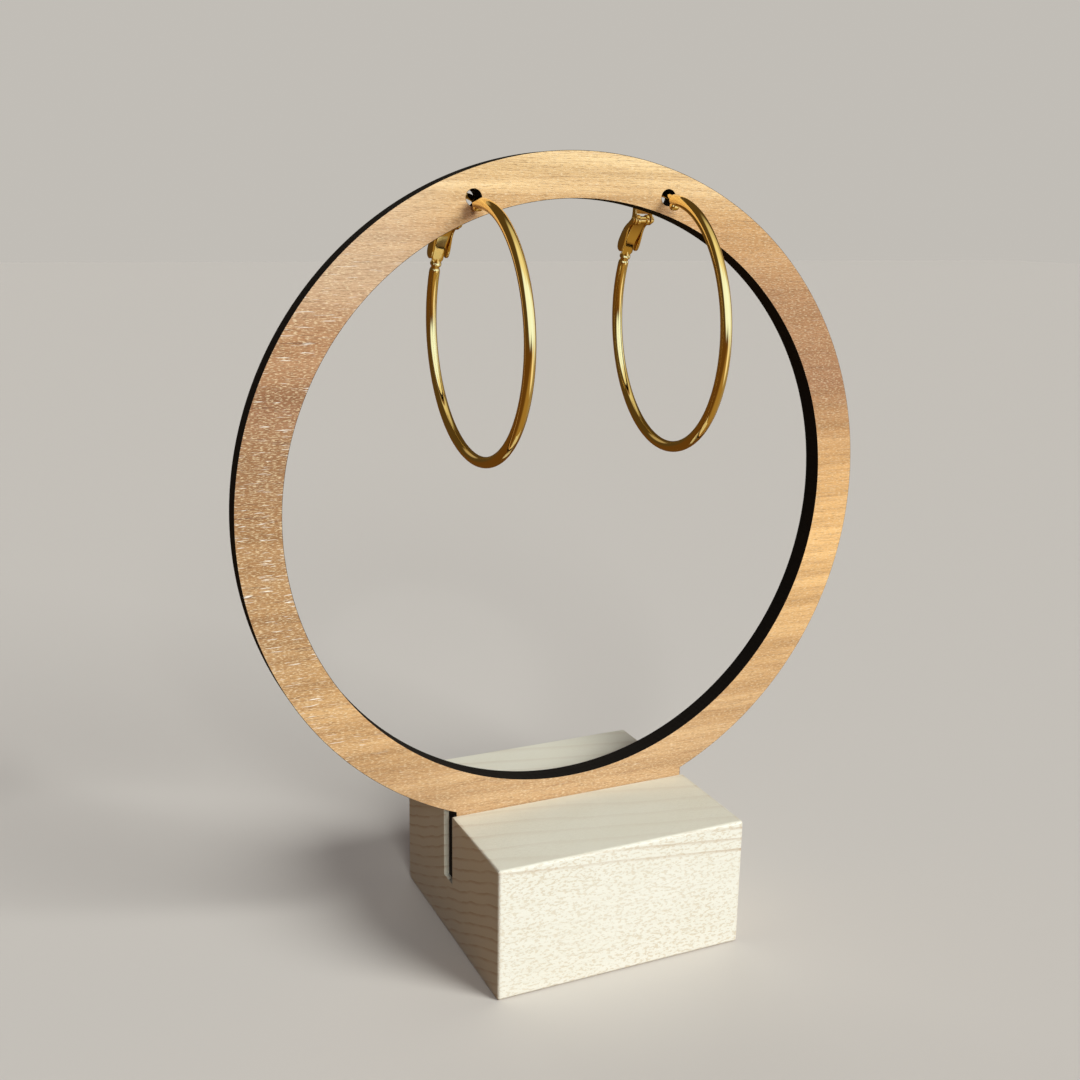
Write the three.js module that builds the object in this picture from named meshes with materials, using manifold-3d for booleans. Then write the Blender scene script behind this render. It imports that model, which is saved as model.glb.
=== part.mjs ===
// A pair of round-tube hoop earrings with hinged lever clasps, each hung by its ear post
// through a hole near the top of a flat wooden ring. The ring's tab stands in a slot of
// a square maple block.
//
// Units are millimetres and +Z is up. The origin is the middle of the block's underside,
// +X runs along the ring to the right as the stand is seen from the front, and -Y is the front.
//
// Each earring is drawn in a frame of its own with the hoop's centre at the origin: x runs
// across the hoop, y towards its back and z up. Angles round a hoop are in degrees from its
// top towards its back, so the front end of the tube has a small negative angle.

import * as THREE from 'three';
import { mergeVertices } from 'three/addons/utils/BufferGeometryUtils.js';
import Module from 'manifold-3d';

const wasm = await Module();
wasm.setup();

// ---------- Driving dimensions ----------

const BLOCK = { width: 40, depth: 38.6, height: 20.3, ease: 0.4 };
const SLOT = { floorZ: 9, sideGap: 0.15 };

// The ring's lowest point lies a little below the block's top, in the slot.
const RING = {
  outerDiameter: 100,
  bandWidth: 6.45,
  thickness: 3.2,
  centreX: -0.54,
  sunkInBlock: 3.14,
  frontY: -0.9,
};
const RING_CENTRE_Z = BLOCK.height - RING.sunkInBlock + RING.outerDiameter / 2;

// The tab's two upright edges lie this far inside the block's ends.
const TAB = { leftInset: 0.76, rightInset: 0.34 };
const TAB_LEFT = -BLOCK.width / 2 + TAB.leftInset - RING.centreX;
const TAB_RIGHT = BLOCK.width / 2 - TAB.rightInset - RING.centreX;

// The two holes: their angle from the ring's top in degrees, positive to the right, and how
// far their centres lie inside the ring's outer edge.
const HOLE_DIAMETER = 2.3;
const HOLES = { left: { angle: -20.3, inset: 3.75 }, right: { angle: 17.75, inset: 3.93 } };

const HOOP = { radius: 17.85, tubeDiameter: 1.6, frontEnd: -4.5, tubeTop: 62.9 };
const LUG = { angle: -4.5, radius: 0.6, length: 1.4 };
const POST = { diameter: 0.84, start: -1.2, tip: 10.9, rise: 1.15 };
const BEAD = { angle: 59.2, radius: 0.84 };

const RIVET = { y: 9.35, z: 14.75, pinRadius: 0.3, boreRadius: 0.4, headRadius: 0.52 };
const TONGUE = { widthTop: 2.0, widthFoot: 1.75, thickness: 0.42, foot: 57.5 };
const KNUCKLE = { earRadius: 0.78, middleRadius: 0.55, earWidth: 0.55 };
const LEVER = { width: 2.8, wall: 0.3, spineFootWidth: 1.5, forkGap: 1.24, forkReach: 2.85 };

// Where each earring hangs. Its hoop's centre is `aside` to the right of its hole, `forward`
// in front of the ring's face, and one hoop radius and `slack` below the hole. The angles in
// degrees are its turn about the upright line, its lean from plumb and how far it has
// slipped round its hole towards the back. The tube's front end bends in by its `droop`,
// and the lug is soldered `lug` below the tube's middle there.
const HANGING = [
  {
    name: 'left', hole: HOLES.left, aside: 0.325, forward: 0.2, slack: 0.258,
    turn: 0.56, lean: -0.64, slip: 1.5, droop: 0.5, lug: 0.5,
  },
  {
    name: 'right', hole: HOLES.right, aside: 0.047, forward: 0.83, slack: 0.18,
    turn: -3.6, lean: -0.91, slip: -0.5, droop: 0.1, lug: 0.85,
  },
];

// The side wall of the lever, seen from the side: y towards the back, z up, from the hoop's
// centre. It starts at the fork's tip and runs down the back edge to the thumb flap.
const LEVER_OUTLINE = [
  { y: 9.4, z: 16.8 }, { y: 9.75, z: 16.6 }, { y: 9.85, z: 16.0 }, { y: 10.15, z: 15.1 },
  { y: 11.0, z: 14.55 }, { y: 12.6, z: 13.75 }, { y: 14.1, z: 12.45 }, { y: 15.05, z: 11.25 },
  { y: 15.15, z: 10.5 }, { y: 14.5, z: 10.0 }, { y: 13.7, z: 10.1 }, { y: 12.95, z: 10.85 },
  { y: 12.35, z: 11.9 }, { y: 11.75, z: 12.95 }, { y: 11.05, z: 13.65 }, { y: 10.3, z: 14.0 },
  { y: 9.55, z: 13.97 }, { y: 8.8, z: 14.25 }, { y: 8.55, z: 14.9 }, { y: 8.75, z: 15.6 },
  { y: 8.95, z: 16.55 },
];

// The lever's back, seen from the side: outer edge down, then inner edge up.
const SPINE_TOP = [
  { y: 11.35, z: 14.36 }, { y: 12.58, z: 13.72 }, { y: 13.3, z: 13.14 }, { y: 14.07, z: 12.42 },
  { y: 13.86, z: 12.21 }, { y: 13.1, z: 12.9 }, { y: 12.42, z: 13.47 }, { y: 11.22, z: 14.1 },
];
const SPINE_FOOT = [
  { y: 13.95, z: 12.5 }, { y: 14.6, z: 11.86 }, { y: 15.03, z: 11.26 }, { y: 15.14, z: 10.88 },
  { y: 14.9, z: 10.85 }, { y: 14.77, z: 11.13 }, { y: 14.38, z: 11.68 }, { y: 13.7, z: 12.35 },
];

const GOLD = { color: 0xe2b04a, roughness: 0.12, metalness: 1 };
const VENEER = { color: 0xd2a877, roughness: 0.55, metalness: 0 };
const MAPLE = { color: 0xd8c6a8, roughness: 0.6, metalness: 0 };

// ---------- Small helpers ----------

const radians = (degrees) => (degrees * Math.PI) / 180;

// A point on a circle round the hoop's centre, at an angle from the top towards the back.
function hoopPoint(degrees, radius) {
  const angle = radians(degrees);
  return new THREE.Vector3(0, radius * Math.sin(angle), radius * Math.cos(angle));
}

// A hole's centre, on the ring's front face.
function holeCentre(hole) {
  const angle = radians(hole.angle);
  const reach = RING.outerDiameter / 2 - hole.inset;
  const x = RING.centreX + reach * Math.sin(angle);
  const z = RING_CENTRE_Z + reach * Math.cos(angle);
  return new THREE.Vector3(x, RING.frontY, z);
}

// Turns a closed three.js geometry into a solid that can be joined and cut.
function toSolid(geometry) {
  const bare = geometry.clone();
  bare.deleteAttribute('normal');
  bare.deleteAttribute('uv');
  const merged = mergeVertices(bare, 1e-5);
  const vertProperties = new Float32Array(merged.attributes.position.array);
  const triVerts = new Uint32Array(merged.index.array);
  return new wasm.Manifold(new wasm.Mesh({ numProp: 3, vertProperties, triVerts }));
}

// Turns a solid back into a geometry with flat normals.
function toGeometry(solid) {
  const mesh = solid.getMesh();
  const corners = new Float32Array(mesh.numVert * 3);
  for (let i = 0; i < mesh.numVert; i += 1) {
    corners.set(mesh.vertProperties.subarray(i * mesh.numProp, i * mesh.numProp + 3), i * 3);
  }
  const geometry = new THREE.BufferGeometry();
  geometry.setAttribute('position', new THREE.BufferAttribute(corners, 3));
  geometry.setIndex(new THREE.BufferAttribute(new Uint32Array(mesh.triVerts), 1));
  geometry.computeVertexNormals();
  return geometry;
}

function joined(geometries) {
  return geometries.map(toSolid).reduce((sum, next) => sum.add(next));
}

function makeMesh(name, geometry, look) {
  const mesh = new THREE.Mesh(geometry, new THREE.MeshStandardMaterial(look));
  mesh.name = name;
  return mesh;
}

// A regular outline with its corners on a circle, for round sections.
function roundSection(radius, sides) {
  const corners = [];
  for (let i = 0; i < sides; i += 1) {
    const angle = (2 * Math.PI * i) / sides;
    corners.push(new THREE.Vector2(radius * Math.cos(angle), radius * Math.sin(angle)));
  }
  return new THREE.Shape(corners);
}

// A plate drawn in the hoop's own plane and given a thickness across it, centred at x = 0.
function plateAcross(points, width, centreX = 0) {
  const shape = new THREE.Shape(points.map((p) => new THREE.Vector2(p.y, p.z)));
  const plate = new THREE.ExtrudeGeometry(shape, { depth: width, bevelEnabled: false });
  plate.translate(0, 0, -width / 2);
  const axes = new THREE.Matrix4().makeBasis(
    new THREE.Vector3(0, 1, 0),
    new THREE.Vector3(0, 0, 1),
    new THREE.Vector3(1, 0, 0),
  );
  plate.applyMatrix4(axes);
  plate.translate(centreX, 0, 0);
  return plate;
}

// A turned shape whose axis lies across the hoop, from a table of distance along and radius.
function turnedAcross(profile, sides, y, z) {
  const turned = new THREE.LatheGeometry(
    profile.map((p) => new THREE.Vector2(p.radius, p.along)),
    sides,
  );
  turned.rotateZ(-Math.PI / 2);
  turned.translate(0, y, z);
  return turned;
}

// ---------- Base block ----------

// An upright prism with eased corners, later turned to run along the other two directions.
function easedPrism(width, depth, height, ease) {
  const a = width / 2;
  const b = depth / 2;
  const outline = new THREE.Shape([
    new THREE.Vector2(a - ease, -b),
    new THREE.Vector2(a, -b + ease),
    new THREE.Vector2(a, b - ease),
    new THREE.Vector2(a - ease, b),
    new THREE.Vector2(-a + ease, b),
    new THREE.Vector2(-a, b - ease),
    new THREE.Vector2(-a, -b + ease),
    new THREE.Vector2(-a + ease, -b),
  ]);
  return new THREE.ExtrudeGeometry(outline, { depth: height, bevelEnabled: false });
}

function buildBlock() {
  const { width, depth, height, ease } = BLOCK;
  const upright = easedPrism(width, depth, height, ease);
  const lengthwise = easedPrism(height, depth, width, ease);
  lengthwise.rotateY(Math.PI / 2);
  lengthwise.translate(-width / 2, 0, height / 2);
  const crosswise = easedPrism(width, height, depth, ease);
  crosswise.rotateX(Math.PI / 2);
  crosswise.translate(0, depth / 2, height / 2);
  const slotWidth = RING.thickness + 2 * SLOT.sideGap;
  const slotHeight = height - SLOT.floorZ + 2;
  const slot = new THREE.BoxGeometry(width + 4, slotWidth, slotHeight);
  slot.translate(0, RING.frontY + RING.thickness / 2, SLOT.floorZ + slotHeight / 2);
  const body = toSolid(upright).intersect(toSolid(lengthwise)).intersect(toSolid(crosswise));
  return toGeometry(body.subtract(toSolid(slot)));
}

// ---------- Ring ----------

function ringOutline() {
  const radius = RING.outerDiameter / 2;
  const start = -Math.acos(TAB_RIGHT / radius);
  const end = 2 * Math.PI - Math.acos(TAB_LEFT / radius);
  const steps = 150;
  const corners = [];
  for (let i = 0; i <= steps; i += 1) {
    const angle = start + ((end - start) * i) / steps;
    const x = RING.centreX + radius * Math.cos(angle);
    const z = RING_CENTRE_Z + radius * Math.sin(angle);
    corners.push(new THREE.Vector2(x, z));
  }
  corners.push(new THREE.Vector2(RING.centreX + TAB_LEFT, SLOT.floorZ));
  corners.push(new THREE.Vector2(RING.centreX + TAB_RIGHT, SLOT.floorZ));
  return corners;
}

function circlePath(centreX, centreZ, radius, steps) {
  const corners = [];
  for (let i = 0; i < steps; i += 1) {
    const angle = (2 * Math.PI * i) / steps;
    corners.push(new THREE.Vector2(centreX + radius * Math.cos(angle), centreZ + radius * Math.sin(angle)));
  }
  return new THREE.Path(corners);
}

function buildRing() {
  const shape = new THREE.Shape(ringOutline());
  const innerRadius = RING.outerDiameter / 2 - RING.bandWidth;
  shape.holes.push(circlePath(RING.centreX, RING_CENTRE_Z, innerRadius, 128));
  for (const hole of [HOLES.left, HOLES.right]) {
    const centre = holeCentre(hole);
    shape.holes.push(circlePath(centre.x, centre.z, HOLE_DIAMETER / 2, 28));
  }
  const ring = new THREE.ExtrudeGeometry(shape, { depth: RING.thickness, bevelEnabled: false });
  const axes = new THREE.Matrix4().makeBasis(
    new THREE.Vector3(1, 0, 0),
    new THREE.Vector3(0, 0, 1),
    new THREE.Vector3(0, -1, 0),
  );
  ring.applyMatrix4(axes);
  ring.translate(0, RING.frontY + RING.thickness, 0);
  return ring;
}

// ---------- Hoop: tube, front end, lug, ear post, bead and tongue, all soldered into one ----------

// How far the tube's centre line lies inside its circle: nothing, but for the last 30
// degrees before the front end, where it grows with the square of the angle.
function droopAt(degrees, droop) {
  const part = Math.max(0, 1 - (HOOP.frontEnd - degrees) / 30);
  return droop * Math.min(part, 1) ** 2;
}

// The tube's centre line, from under the bead round by the bottom to the front end.
class HoopArc extends THREE.Curve {
  constructor(droop) {
    super();
    this.droop = droop;
  }

  getPoint(t, target = new THREE.Vector3()) {
    const from = HOOP.tubeTop - 360;
    const degrees = from + (HOOP.frontEnd - from) * t;
    return target.copy(hoopPoint(degrees, HOOP.radius - droopAt(degrees, this.droop)));
  }
}

function tube(droop) {
  const section = roundSection(HOOP.tubeDiameter / 2, 14);
  return new THREE.ExtrudeGeometry(section, {
    steps: 54,
    extrudePath: new HoopArc(droop),
    bevelEnabled: false,
  });
}

function frontEnd(droop) {
  const ball = new THREE.SphereGeometry(HOOP.tubeDiameter / 2 + 0.02, 20, 12);
  const centre = hoopPoint(HOOP.frontEnd, HOOP.radius - droop);
  ball.translate(centre.x, centre.y, centre.z);
  return ball;
}

// The small round lug under the front end, lying across the hoop.
function lug(droop, depth) {
  const half = LUG.length / 2;
  const centre = hoopPoint(LUG.angle, HOOP.radius - droop - depth);
  const profile = [
    { along: -half, radius: 0 },
    { along: -half + 0.04, radius: LUG.radius - 0.22 },
    { along: -half + 0.2, radius: LUG.radius - 0.04 },
    { along: -half + 0.38, radius: LUG.radius },
    { along: half - 0.38, radius: LUG.radius },
    { along: half - 0.2, radius: LUG.radius - 0.04 },
    { along: half - 0.04, radius: LUG.radius - 0.22 },
    { along: half, radius: 0 },
  ];
  return turnedAcross(profile, 20, centre.y, centre.z);
}

// The ear post rises from the front end in an arch and comes down behind the rivet.
function postCurve(droop) {
  const r = HOOP.radius;
  return new THREE.CubicBezierCurve3(
    new THREE.Vector3(0, POST.start, r - 0.2 - droop),
    new THREE.Vector3(0, 1.0, r + POST.rise - 0.25),
    new THREE.Vector3(0, 6.2, r + POST.rise + 0.3),
    new THREE.Vector3(0, POST.tip, r - 1.45),
  );
}

function post(droop) {
  return new THREE.ExtrudeGeometry(roundSection(POST.diameter / 2, 12), {
    steps: 16,
    extrudePath: postCurve(droop),
    bevelEnabled: false,
  });
}

function postTip(droop) {
  const ball = new THREE.SphereGeometry(POST.diameter / 2 + 0.01, 12, 8);
  const end = postCurve(droop).getPoint(1);
  ball.translate(end.x, end.y, end.z);
  return ball;
}

// Neck, bead, groove and the tube's rounded top, turned about the hoop's own direction.
function bead() {
  const profile = [
    { along: -1.9, radius: 0 },
    { along: -1.85, radius: 0.3 },
    { along: -1.2, radius: 0.43 },
    { along: -0.7, radius: 0.56 },
    { along: -0.4, radius: 0.68 },
    { along: -0.2, radius: BEAD.radius },
    { along: 0.1, radius: BEAD.radius },
    { along: 0.32, radius: 0.72 },
    { along: 0.42, radius: 0.56 },
    { along: 0.62, radius: 0.56 },
    { along: 0.76, radius: 0.68 },
    { along: 0.95, radius: 0.76 },
    { along: 1.2, radius: 0.79 },
    { along: 1.7, radius: 0.6 },
    { along: 1.8, radius: 0 },
  ];
  const turned = new THREE.LatheGeometry(
    profile.map((p) => new THREE.Vector2(p.radius, p.along)),
    20,
  );
  turned.rotateX(-radians(BEAD.angle));
  const centre = hoopPoint(BEAD.angle, HOOP.radius);
  turned.translate(centre.x, centre.y, centre.z);
  return turned;
}

// The tongue's curved plate, seen from the side, from the rivet down to the bead's neck.
function tonguePlate() {
  const from = THREE.MathUtils.radToDeg(Math.atan2(RIVET.y, RIVET.z)) + 1.2;
  const steps = 12;
  const outer = [];
  const inner = [];
  for (let i = 0; i <= steps; i += 1) {
    const angle = from + ((TONGUE.foot - from) * i) / steps;
    outer.push(hoopPoint(angle, HOOP.radius));
    inner.push(hoopPoint(angle, HOOP.radius - TONGUE.thickness));
  }
  return plateAcross([...outer.reverse(), ...inner], TONGUE.widthTop);
}

// The tongue's outline seen square on from outside the hoop: wide at the rivet, narrow at the bead.
function tongueTaper() {
  const top = TONGUE.widthTop / 2 + 0.02;
  const foot = TONGUE.widthFoot / 2;
  const outline = new THREE.Shape([
    new THREE.Vector2(-top, 4.6),
    new THREE.Vector2(-top, 2.6),
    new THREE.Vector2(-foot, -3.2),
    new THREE.Vector2(-foot * 0.6, -4.1),
    new THREE.Vector2(foot * 0.6, -4.1),
    new THREE.Vector2(foot, -3.2),
    new THREE.Vector2(top, 2.6),
    new THREE.Vector2(top, 4.6),
  ]);
  const wedge = new THREE.ExtrudeGeometry(outline, { depth: 8, bevelEnabled: false });
  wedge.translate(0, 0, -4);
  wedge.rotateX(radians(180 - 46));
  const centre = hoopPoint(46, HOOP.radius);
  wedge.translate(centre.x, centre.y, centre.z);
  return wedge;
}

// The knuckle round the rivet: an ear at each side with a thinner middle.
function knuckle() {
  const half = TONGUE.widthTop / 2;
  const inner = half - KNUCKLE.earWidth;
  const profile = [
    { along: -half, radius: 0 },
    { along: -half, radius: KNUCKLE.earRadius },
    { along: -inner, radius: KNUCKLE.earRadius },
    { along: -inner, radius: KNUCKLE.middleRadius },
    { along: inner, radius: KNUCKLE.middleRadius },
    { along: inner, radius: KNUCKLE.earRadius },
    { along: half, radius: KNUCKLE.earRadius },
    { along: half, radius: 0 },
  ];
  return turnedAcross(profile, 24, RIVET.y, RIVET.z);
}

function rivetBore(length) {
  const profile = [
    { along: -length / 2, radius: 0 },
    { along: -length / 2, radius: RIVET.boreRadius },
    { along: length / 2, radius: RIVET.boreRadius },
    { along: length / 2, radius: 0 },
  ];
  return turnedAcross(profile, 24, RIVET.y, RIVET.z);
}

function buildHoop({ droop, lug: depth }) {
  const tongue = toSolid(tonguePlate()).intersect(toSolid(tongueTaper()));
  const front = [tube(droop), frontEnd(droop), lug(droop, depth), post(droop), postTip(droop)];
  const pieces = joined([...front, bead(), knuckle()]);
  return toGeometry(pieces.add(tongue).subtract(toSolid(rivetBore(4))));
}

// ---------- Rivet ----------

function buildRivet() {
  const { pinRadius, headRadius } = RIVET;
  const profile = [
    { along: -1.68, radius: 0 },
    { along: -1.66, radius: 0.36 },
    { along: -1.58, radius: 0.46 },
    { along: -1.5, radius: 0.46 },
    { along: -1.5, radius: pinRadius },
    { along: 1.5, radius: pinRadius },
    { along: 1.5, radius: headRadius },
    { along: 1.66, radius: headRadius },
    { along: 1.8, radius: headRadius - 0.12 },
    { along: 1.89, radius: headRadius - 0.3 },
    { along: 1.92, radius: 0 },
  ];
  return turnedAcross(profile, 20, RIVET.y, RIVET.z);
}

// ---------- Lever ----------

// The side wall's smooth outline, closed through the table's points.
function leverOutline() {
  const points = LEVER_OUTLINE.map((p) => new THREE.Vector3(0, p.y, p.z));
  const curve = new THREE.CatmullRomCurve3(points, true, 'centripetal');
  return curve.getPoints(63).slice(0, 63).reverse();
}

// The two lips at the fork's top, one each side of the ear post.
function forkLips() {
  const lip = [
    { y: 9.3, z: 16.2 }, { y: 9.66, z: 16.2 }, { y: 9.66, z: 16.6 }, { y: 9.3, z: 16.7 },
  ];
  const half = LEVER.width / 2 - LEVER.wall / 2;
  const inner = LEVER.forkGap / 2;
  const width = half - inner;
  const centre = (half + inner) / 2;
  return [plateAcross(lip, width, -centre), plateAcross(lip, width, centre)];
}

// The slot in the lever's back that lets it swing past the ear post: all that lies between
// the lips and nearer to the rivet than the fork's reach.
function forkSlot() {
  const half = LEVER.forkGap / 2;
  const profile = [
    { along: -half, radius: 0 },
    { along: -half, radius: LEVER.forkReach },
    { along: half, radius: LEVER.forkReach },
    { along: half, radius: 0 },
  ];
  return turnedAcross(profile, 48, RIVET.y, RIVET.z);
}

// The plate that joins the two walls in front of the fork, under the post.
function saddle() {
  const outline = [
    { y: 8.95, z: 15.62 }, { y: 9.13, z: 15.62 }, { y: 9.2, z: 16.5 }, { y: 9.02, z: 16.5 },
  ];
  return plateAcross(outline, LEVER.width - LEVER.wall);
}

function buildLever() {
  const outline = leverOutline();
  const offset = LEVER.width / 2 - LEVER.wall / 2;
  const walls = joined([
    plateAcross(outline, LEVER.wall, -offset),
    plateAcross(outline, LEVER.wall, offset),
    saddle(),
    ...forkLips(),
  ]);
  const back = joined([
    plateAcross([...SPINE_TOP].reverse(), LEVER.width - LEVER.wall),
    plateAcross([...SPINE_FOOT].reverse(), LEVER.spineFootWidth),
  ]);
  const slotted = back.subtract(toSolid(forkSlot()));
  return toGeometry(walls.add(slotted).subtract(toSolid(rivetBore(4))));
}

// ---------- Assembly ----------

function buildEarring(place) {
  const earring = new THREE.Group();
  earring.add(makeMesh(`${place.name}_hoop`, buildHoop(place), GOLD));
  earring.add(makeMesh(`${place.name}_rivet`, buildRivet(), GOLD));
  earring.add(makeMesh(`${place.name}_lever`, buildLever(), GOLD));
  earring.rotation.set(-radians(place.slip), radians(place.lean), radians(place.turn), 'ZYX');
  const centre = holeCentre(place.hole);
  centre.x += place.aside;
  centre.y -= place.forward;
  centre.z -= HOOP.radius + place.slack;
  earring.position.copy(centre);
  return earring;
}

const group = new THREE.Group();
group.add(makeMesh('base_block', buildBlock(), MAPLE));
group.add(makeMesh('ring_frame', buildRing(), VENEER));
for (const place of HANGING) {
  group.add(buildEarring(place));
}
group.updateMatrixWorld(true);

export default group;
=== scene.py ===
# %% [markdown]
# # A pair of hoop earrings on a ring stand
#
# Two polished gold hoops hang by their ear posts from a flat wooden ring, and the ring's tab
# stands in a slot of a pale maple block. This lesson dresses the plain solids: smooth metal
# that can carry long reflections, veneer with dark cut edges, and solid maple whose growth
# lines agree on all its faces. The first cell loads the solids. Nothing that is made here
# may be larger.

import math

import bpy
import numpy as np
from mathutils import Matrix, Vector
from mathutils.geometry import delaunay_2d_cdt


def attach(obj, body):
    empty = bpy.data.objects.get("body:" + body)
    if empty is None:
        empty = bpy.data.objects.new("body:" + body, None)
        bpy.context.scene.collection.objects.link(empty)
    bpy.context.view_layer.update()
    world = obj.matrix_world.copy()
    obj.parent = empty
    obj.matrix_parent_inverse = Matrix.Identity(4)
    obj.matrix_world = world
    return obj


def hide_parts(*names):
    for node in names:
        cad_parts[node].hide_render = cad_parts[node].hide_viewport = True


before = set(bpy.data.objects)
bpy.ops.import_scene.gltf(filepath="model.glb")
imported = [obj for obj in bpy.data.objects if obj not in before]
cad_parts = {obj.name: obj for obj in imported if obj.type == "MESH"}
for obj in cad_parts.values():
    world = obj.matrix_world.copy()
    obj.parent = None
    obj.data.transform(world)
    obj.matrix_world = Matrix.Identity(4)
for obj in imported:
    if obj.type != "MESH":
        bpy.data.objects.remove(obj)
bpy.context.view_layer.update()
print("solids:", ", ".join(sorted(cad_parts)))

# %% [markdown]
# ## The camera
#
# The camera comes first, so that every later piece can be judged through it. Its place, its
# direction and its lens were worked out from the ring's two circles and the block's corners.
# It stands about 200 mm from the ring, left of its front and a little above the hoops, which
# gives the strong perspective. Its three axes are the columns of its matrix.

# %% Camera
VIEW_TURN, VIEW_DROP, VIEW_ROLL = np.radians([24.632, 14.328, 0.866])
CAMERA_PLACE = (-0.08266, -0.16801, 0.10898)
FOCAL_PIXELS, FRAME_PIXELS, SENSOR_WIDTH = 1289.797, 1080, 36.0

heading = np.array([math.sin(VIEW_TURN), math.cos(VIEW_TURN), 0.0])
ahead = np.array([*(heading[:2] * math.cos(VIEW_DROP)), -math.sin(VIEW_DROP)])
level = np.array([math.cos(VIEW_TURN), -math.sin(VIEW_TURN), 0.0])
above = np.cross(level, ahead)
right_hand = math.cos(VIEW_ROLL) * level + math.sin(VIEW_ROLL) * above
overhead = math.cos(VIEW_ROLL) * above - math.sin(VIEW_ROLL) * level

camera_data = bpy.data.cameras.new("camera")
camera_data.sensor_width = SENSOR_WIDTH
camera_data.lens = SENSOR_WIDTH * FOCAL_PIXELS / FRAME_PIXELS
camera_data.clip_start, camera_data.clip_end = 0.01, 20.0
camera = bpy.data.objects.new("camera", camera_data)
bpy.context.scene.collection.objects.link(camera)
place = np.eye(4)
place[:3, :4] = np.column_stack([right_hand, overhead, -ahead, CAMERA_PLACE])
camera.matrix_world = Matrix(place.tolist())
bpy.context.scene.camera = camera
print(f"lens {camera_data.lens:.2f} mm")

# %% [markdown]
# ## From points to pieces
#
# Every piece here is a closed shell that is worked out with numpy. `make_piece` turns arrays
# of points in millimetres and faces into a mesh at the origin, and measures the volume that
# the shell encloses. If the faces point inwards, the volume comes out negative and the faces
# are turned round, so a piece can't be inside out. Then it rides on its body and stands for
# its solid.

# %% From points to pieces
MM = 0.001
ROOT = "stand_and_hoops"


def make_piece(name, shell, finishes, body, node, finish_numbers=None):
    """A mesh object from (points, quads, triangles).

    The volume is one sixth of the sum of a . (b x c) over the shell's triangles.
    """
    points, quads, triangles = shell
    points = np.asarray(points) * MM
    fan = np.concatenate([quads[:, [0, 1, 2]], quads[:, [0, 2, 3]], triangles])
    a, b, c = points[fan].transpose(1, 0, 2)
    volume = np.einsum("ij,ij->", a, np.cross(b, c)) / 6
    if volume < 0:
        quads, triangles = quads[:, ::-1], triangles[:, ::-1]
    mesh = bpy.data.meshes.new(name)
    mesh.from_pydata(points.tolist(), [], quads.tolist() + triangles.tolist())
    count = len(mesh.polygons)
    mesh.polygons.foreach_set("use_smooth", np.ones(count, dtype=bool))
    for finish in finishes:
        mesh.materials.append(finish)
    if finish_numbers is not None:
        mesh.polygons.foreach_set("material_index", finish_numbers.astype(np.int32))
    mesh.update()
    piece = bpy.data.objects.new(name, mesh)
    bpy.context.scene.collection.objects.link(piece)
    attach(piece, body)
    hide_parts(node)
    print(f"{name}: {len(fan):,} triangles, {abs(volume) * 1e9:.1f} cubic mm")
    return piece


# %% [markdown]
# A wire, a tube, a bead or a bent strip is a section carried along a path. The section is a
# circle that can be pressed towards a rectangle with round corners, which suits sheet metal.
# Each end is closed with a pole, a single point that its last ring of points runs to.

# %% A section along a path
def sweep(centres, across, up, half_width, half_height, squareness=2.0, around=40):
    """Rings of points along a path.

    point = centre + across * half_width * c + up * half_height * s. Here c and s are the
    cosine and the sine of the angle round the section, which keep their sign and are
    raised to the power 2 / squareness.
    """
    angle = np.linspace(0, 2 * np.pi, around, endpoint=False)
    c = np.sign(np.cos(angle)) * np.abs(np.cos(angle)) ** (2 / squareness)
    s = np.sign(np.sin(angle)) * np.abs(np.sin(angle)) ** (2 / squareness)
    wide = np.multiply.outer(half_width, c)[..., None] * across[:, None]
    high = np.multiply.outer(half_height, s)[..., None] * up[:, None]
    return centres[:, None] + wide + high


def close_ends(rings):
    """Points, quads and triangles of a shell of rings with a pole at the middle of each end."""
    rows, around = rings.shape[:2]
    i = np.arange(rows - 1)[:, None] * around
    j = np.arange(around)[None, :]
    k = (j + 1) % around
    quads = np.stack([i + j, i + k, i + around + k, i + around + j], -1).reshape(-1, 4)
    last = (rows - 1) * around
    start = np.stack([np.full(around, rows * around), k[0], j[0]], -1)
    end = np.stack([np.full(around, rows * around + 1), last + j[0], last + k[0]], -1)
    poles = np.stack([rings[0].mean(0), rings[-1].mean(0)])
    points = np.concatenate([rings.reshape(-1, 3), poles])
    return points, quads, np.concatenate([start, end])


def softened(values, passes=2):
    """The values with their corners eased.

    Each value becomes half of itself and a quarter of each of its two neighbours. The first
    and the last stay.
    """
    for _ in range(passes):
        eased = (values[:-2] + 2 * values[1:-1] + values[2:]) / 4
        values = np.concatenate([values[:1], eased, values[-1:]])
    return values


# %% [markdown]
# A board, a block or a plate of sheet metal is an outline with a thickness. What makes it
# look real is the small rounding where its face meets its rim, because that thin line
# catches the light. `rounded_plate` lays the rim as a grid: one direction goes round the
# outline, the other goes over the front edge, through the thickness and over the back edge.
# The flat faces are triangles between the rims. A Weighted Normal modifier then keeps the
# flats flat and lets only the rounding shade from one to the other.

# %% A plate with rounded edges
def offsets(outline):
    """For each corner, the step that moves both edges beside it outwards by one unit.

    With n and m the outward normals of the two edges, it is (n + m) / (1 + n . m).
    """
    edge = np.roll(outline, -1, 0) - outline
    edge /= np.linalg.norm(edge, axis=1, keepdims=True)
    normal = np.stack([edge[:, 1], -edge[:, 0]], 1)
    before = np.roll(normal, 1, 0)
    return (normal + before) / (1 + np.einsum("ij,ij->i", normal, before))[:, None]


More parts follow.
